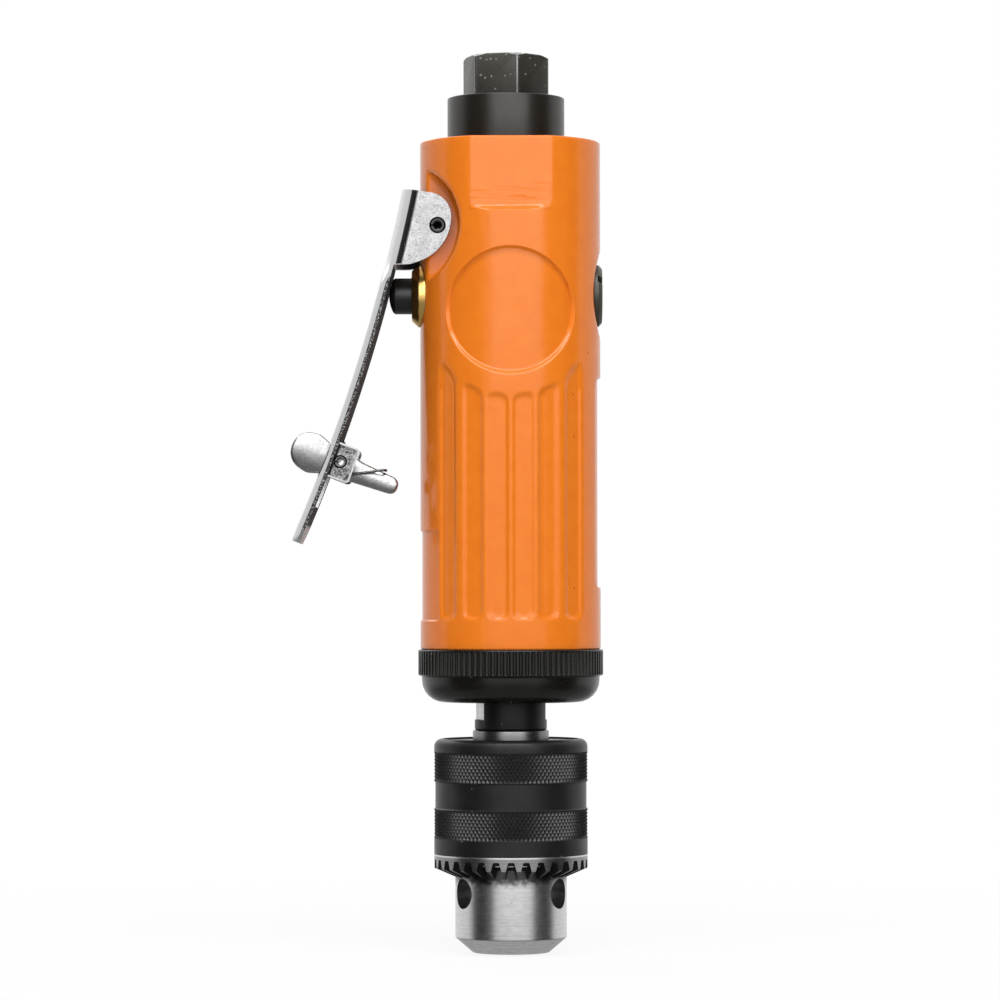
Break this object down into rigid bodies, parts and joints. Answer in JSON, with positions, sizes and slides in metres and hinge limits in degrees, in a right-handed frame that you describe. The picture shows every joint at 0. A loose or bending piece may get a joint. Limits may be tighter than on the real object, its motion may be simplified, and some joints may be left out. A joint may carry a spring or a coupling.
{
  "type": "inline air drill",
  "caption": "Straight air drill with a lever throttle and lock-off, vane motor, planetary reduction, slotted air regulator and keyed jaw chuck.",
  "frame": {"origin": "centre of the chuck's nose, where the drill bit goes in", "axes": "+Z along the tool from the chuck to the air inlet, -X towards the throttle lever, -Y towards the side seen in the picture"},
  "size_m": [0.0691, 0.041, 0.1987],
  "materials": {
    "orange_paint": "gloss orange paint on a cast and turned aluminium housing",
    "dark_inlet": "satin black-brown coated steel",
    "black_oxide": "black oxide, satin",
    "bright_steel": "turned steel",
    "bearing_steel": "ground steel",
    "chrome": "bright plated steel",
    "dark_pin": "black oxide spring steel",
    "spring_steel": "drawn wire",
    "brass": "turned brass",
    "black_plastic": "black moulded plastic",
    "rubber": "black rubber",
    "felt": "grey felt",
    "blade_laminate": "brown phenolic laminate"
  },
  "bodies": {
    "housing": {"motor_housing": "orange_paint", "inlet_bush": "dark_inlet", "inlet_screen": "bright_steel", "inlet_seal": "rubber", "exhaust_collar": "dark_inlet", "muffler_felt": "felt", "valve_bush": "brass", "valve_stem_seal": "rubber", "valve_spring": "spring_steel", "regulator_ring": "bright_steel", "lever_pivot_pin": "dark_pin", "rear_end_plate": "bright_steel", "rear_bearing_outer": "bearing_steel", "motor_cylinder": "bright_steel", "cylinder_dowel": "bright_steel", "front_end_plate": "bright_steel", "front_bearing_outer": "bearing_steel", "ring_gear": "bright_steel", "gear_spacer": "bright_steel", "spindle_bearing_outer": "bearing_steel", "clamp_nut": "black_oxide", "spindle_seal": "rubber"},
    "spindle": {"spindle": "black_oxide", "planet_pins": "bright_steel", "spindle_bearing_inner": "bearing_steel", "spindle_bearing_balls": "bearing_steel", "chuck_body": "bright_steel"},
    "rotor": {"rotor": "bright_steel", "rotor_blades": "blade_laminate", "rear_bearing_inner": "bearing_steel", "rear_bearing_balls": "bearing_steel", "front_bearing_inner": "bearing_steel", "front_bearing_balls": "bearing_steel"},
    "planet_1": {"planet_gear_1": "bright_steel"},
    "planet_2": {"planet_gear_2": "bright_steel"},
    "planet_3": {"planet_gear_3": "bright_steel"},
    "chuck_sleeve": {"chuck_sleeve": "black_oxide", "chuck_nut": "bright_steel"},
    "chuck_jaw_1": {"chuck_jaw_1": "bright_steel"},
    "chuck_jaw_2": {"chuck_jaw_2": "bright_steel"},
    "chuck_jaw_3": {"chuck_jaw_3": "bright_steel"},
    "throttle_lever": {"throttle_lever": "chrome", "lock_off_pin": "dark_pin", "lock_off_spring": "spring_steel"},
    "lock_off": {"lock_off": "chrome"},
    "valve": {"valve_stem": "black_plastic", "valve_seal": "rubber"},
    "regulator": {"regulator": "black_oxide", "regulator_seal": "rubber"}
  },
  "joints": [
    {"name": "spindle_spin", "type": "hinge", "parent": "housing", "child": "spindle", "pos_m": [0, 0, 0.0608], "axis": [0, 0, 1], "continuous": true},
    {"name": "rotor_spin", "type": "hinge", "parent": "housing", "child": "rotor", "pos_m": [0, 0, 0.1087], "axis": [0, 0, 1], "continuous": true},
    {"name": "planet_1_spin", "type": "hinge", "parent": "spindle", "child": "planet_1", "pos_m": [0, 0.00946, 0.0792], "axis": [0, 0, 1], "continuous": true},
    {"name": "planet_2_spin", "type": "hinge", "parent": "spindle", "child": "planet_2", "pos_m": [-0.00819, -0.00473, 0.0792], "axis": [0, 0, 1], "continuous": true},
    {"name": "planet_3_spin", "type": "hinge", "parent": "spindle", "child": "planet_3", "pos_m": [0.00819, -0.00473, 0.0792], "axis": [0, 0, 1], "continuous": true},
    {"name": "chuck_sleeve_turn", "type": "hinge", "parent": "spindle", "child": "chuck_sleeve", "pos_m": [0, 0, 0.0225], "axis": [0, 0, 1], "range_deg": [0, 3315]},
    {"name": "chuck_jaw_1_slide", "type": "slide", "parent": "spindle", "child": "chuck_jaw_1", "axis": [0, 0.2504, -0.9681], "range_m": [0, 0.01662]},
    {"name": "chuck_jaw_2_slide", "type": "slide", "parent": "spindle", "child": "chuck_jaw_2", "axis": [-0.2168, -0.1252, -0.9681], "range_m": [0, 0.01662]},
    {"name": "chuck_jaw_3_slide", "type": "slide", "parent": "spindle", "child": "chuck_jaw_3", "axis": [0.2168, -0.1252, -0.9681], "range_m": [0, 0.01662]},
    {"name": "throttle_press", "type": "hinge", "parent": "housing", "child": "throttle_lever", "pos_m": [-0.016, 0, 0.1604], "axis": [0, -1, 0], "range_deg": [0, 6], "stiffness_Nm_per_rad": 2, "springref_deg": -8.59},
    {"name": "lock_off_swing", "type": "hinge", "parent": "throttle_lever", "child": "lock_off", "pos_m": [-0.03748, 0, 0.1084], "axis": [0, -1, 0], "range_deg": [0, 66], "deforming": ["lock_off_spring"]},
    {"name": "valve_stem_slide", "type": "slide", "parent": "housing", "child": "valve", "axis": [1, 0, 0], "range_m": [0, 0.00165], "deforming": ["valve_spring"]},
    {"name": "regulator_turn", "type": "hinge", "parent": "housing", "child": "regulator", "pos_m": [0.0102, 0, 0.1454], "axis": [1, 0, 0], "range_deg": [0, 90]}
  ],
  "couplings": [
    {"joint": "rotor_spin", "follows": "spindle_spin", "ratio": 4.5},
    {"joint": "planet_1_spin", "follows": "spindle_spin", "ratio": -2.8},
    {"joint": "planet_2_spin", "follows": "spindle_spin", "ratio": -2.8},
    {"joint": "planet_3_spin", "follows": "spindle_spin", "ratio": -2.8},
    {"joint": "chuck_jaw_1_slide", "follows": "chuck_sleeve_turn", "m_per_rad": 0.00028648},
    {"joint": "chuck_jaw_2_slide", "follows": "chuck_sleeve_turn", "m_per_rad": 0.00028648},
    {"joint": "chuck_jaw_3_slide", "follows": "chuck_sleeve_turn", "m_per_rad": 0.00028648},
    {"joint": "lock_off_swing", "follows": "throttle_press", "ratio": 11},
    {"joint": "valve_stem_slide", "follows": "throttle_press", "m_per_rad": 0.0154}
  ]
}
